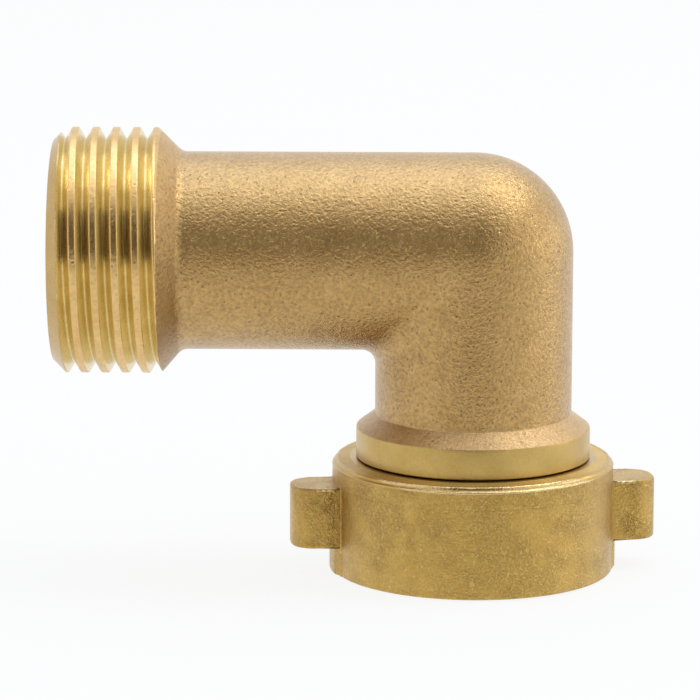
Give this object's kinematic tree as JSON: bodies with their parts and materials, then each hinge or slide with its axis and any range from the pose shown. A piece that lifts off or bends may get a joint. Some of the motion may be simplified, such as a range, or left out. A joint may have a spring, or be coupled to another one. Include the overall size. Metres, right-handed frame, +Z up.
{
  "type": "garden hose elbow connector",
  "caption": "Right-angle brass hose elbow: a male hose thread on the arm and, below the leg, a swivel nut with two lugs, a female hose thread and a flat washer.",
  "frame": {"origin": "centre of the swivel nut's mouth, on the swivel axis", "axes": "+Z up along the swivel axis from the nut to the bend, -X along the arm towards the male thread"},
  "size_m": [0.0654, 0.0306, 0.0483],
  "materials": {
    "forged_brass": "shot-blasted forging with machined thread and band",
    "nut_brass": "shot-blasted forging with turned ends",
    "washer_rubber": "matt moulded rubber"
  },
  "bodies": {
    "elbow": {"elbow_body": "forged_brass"},
    "nut": {"swivel_nut": "nut_brass", "hose_washer": "washer_rubber"}
  },
  "joints": [
    {"name": "nut_swivel", "type": "hinge", "parent": "elbow", "child": "nut", "pos_m": [0, 0, 0.011], "axis": [0, 0, 1], "continuous": true}
  ]
}
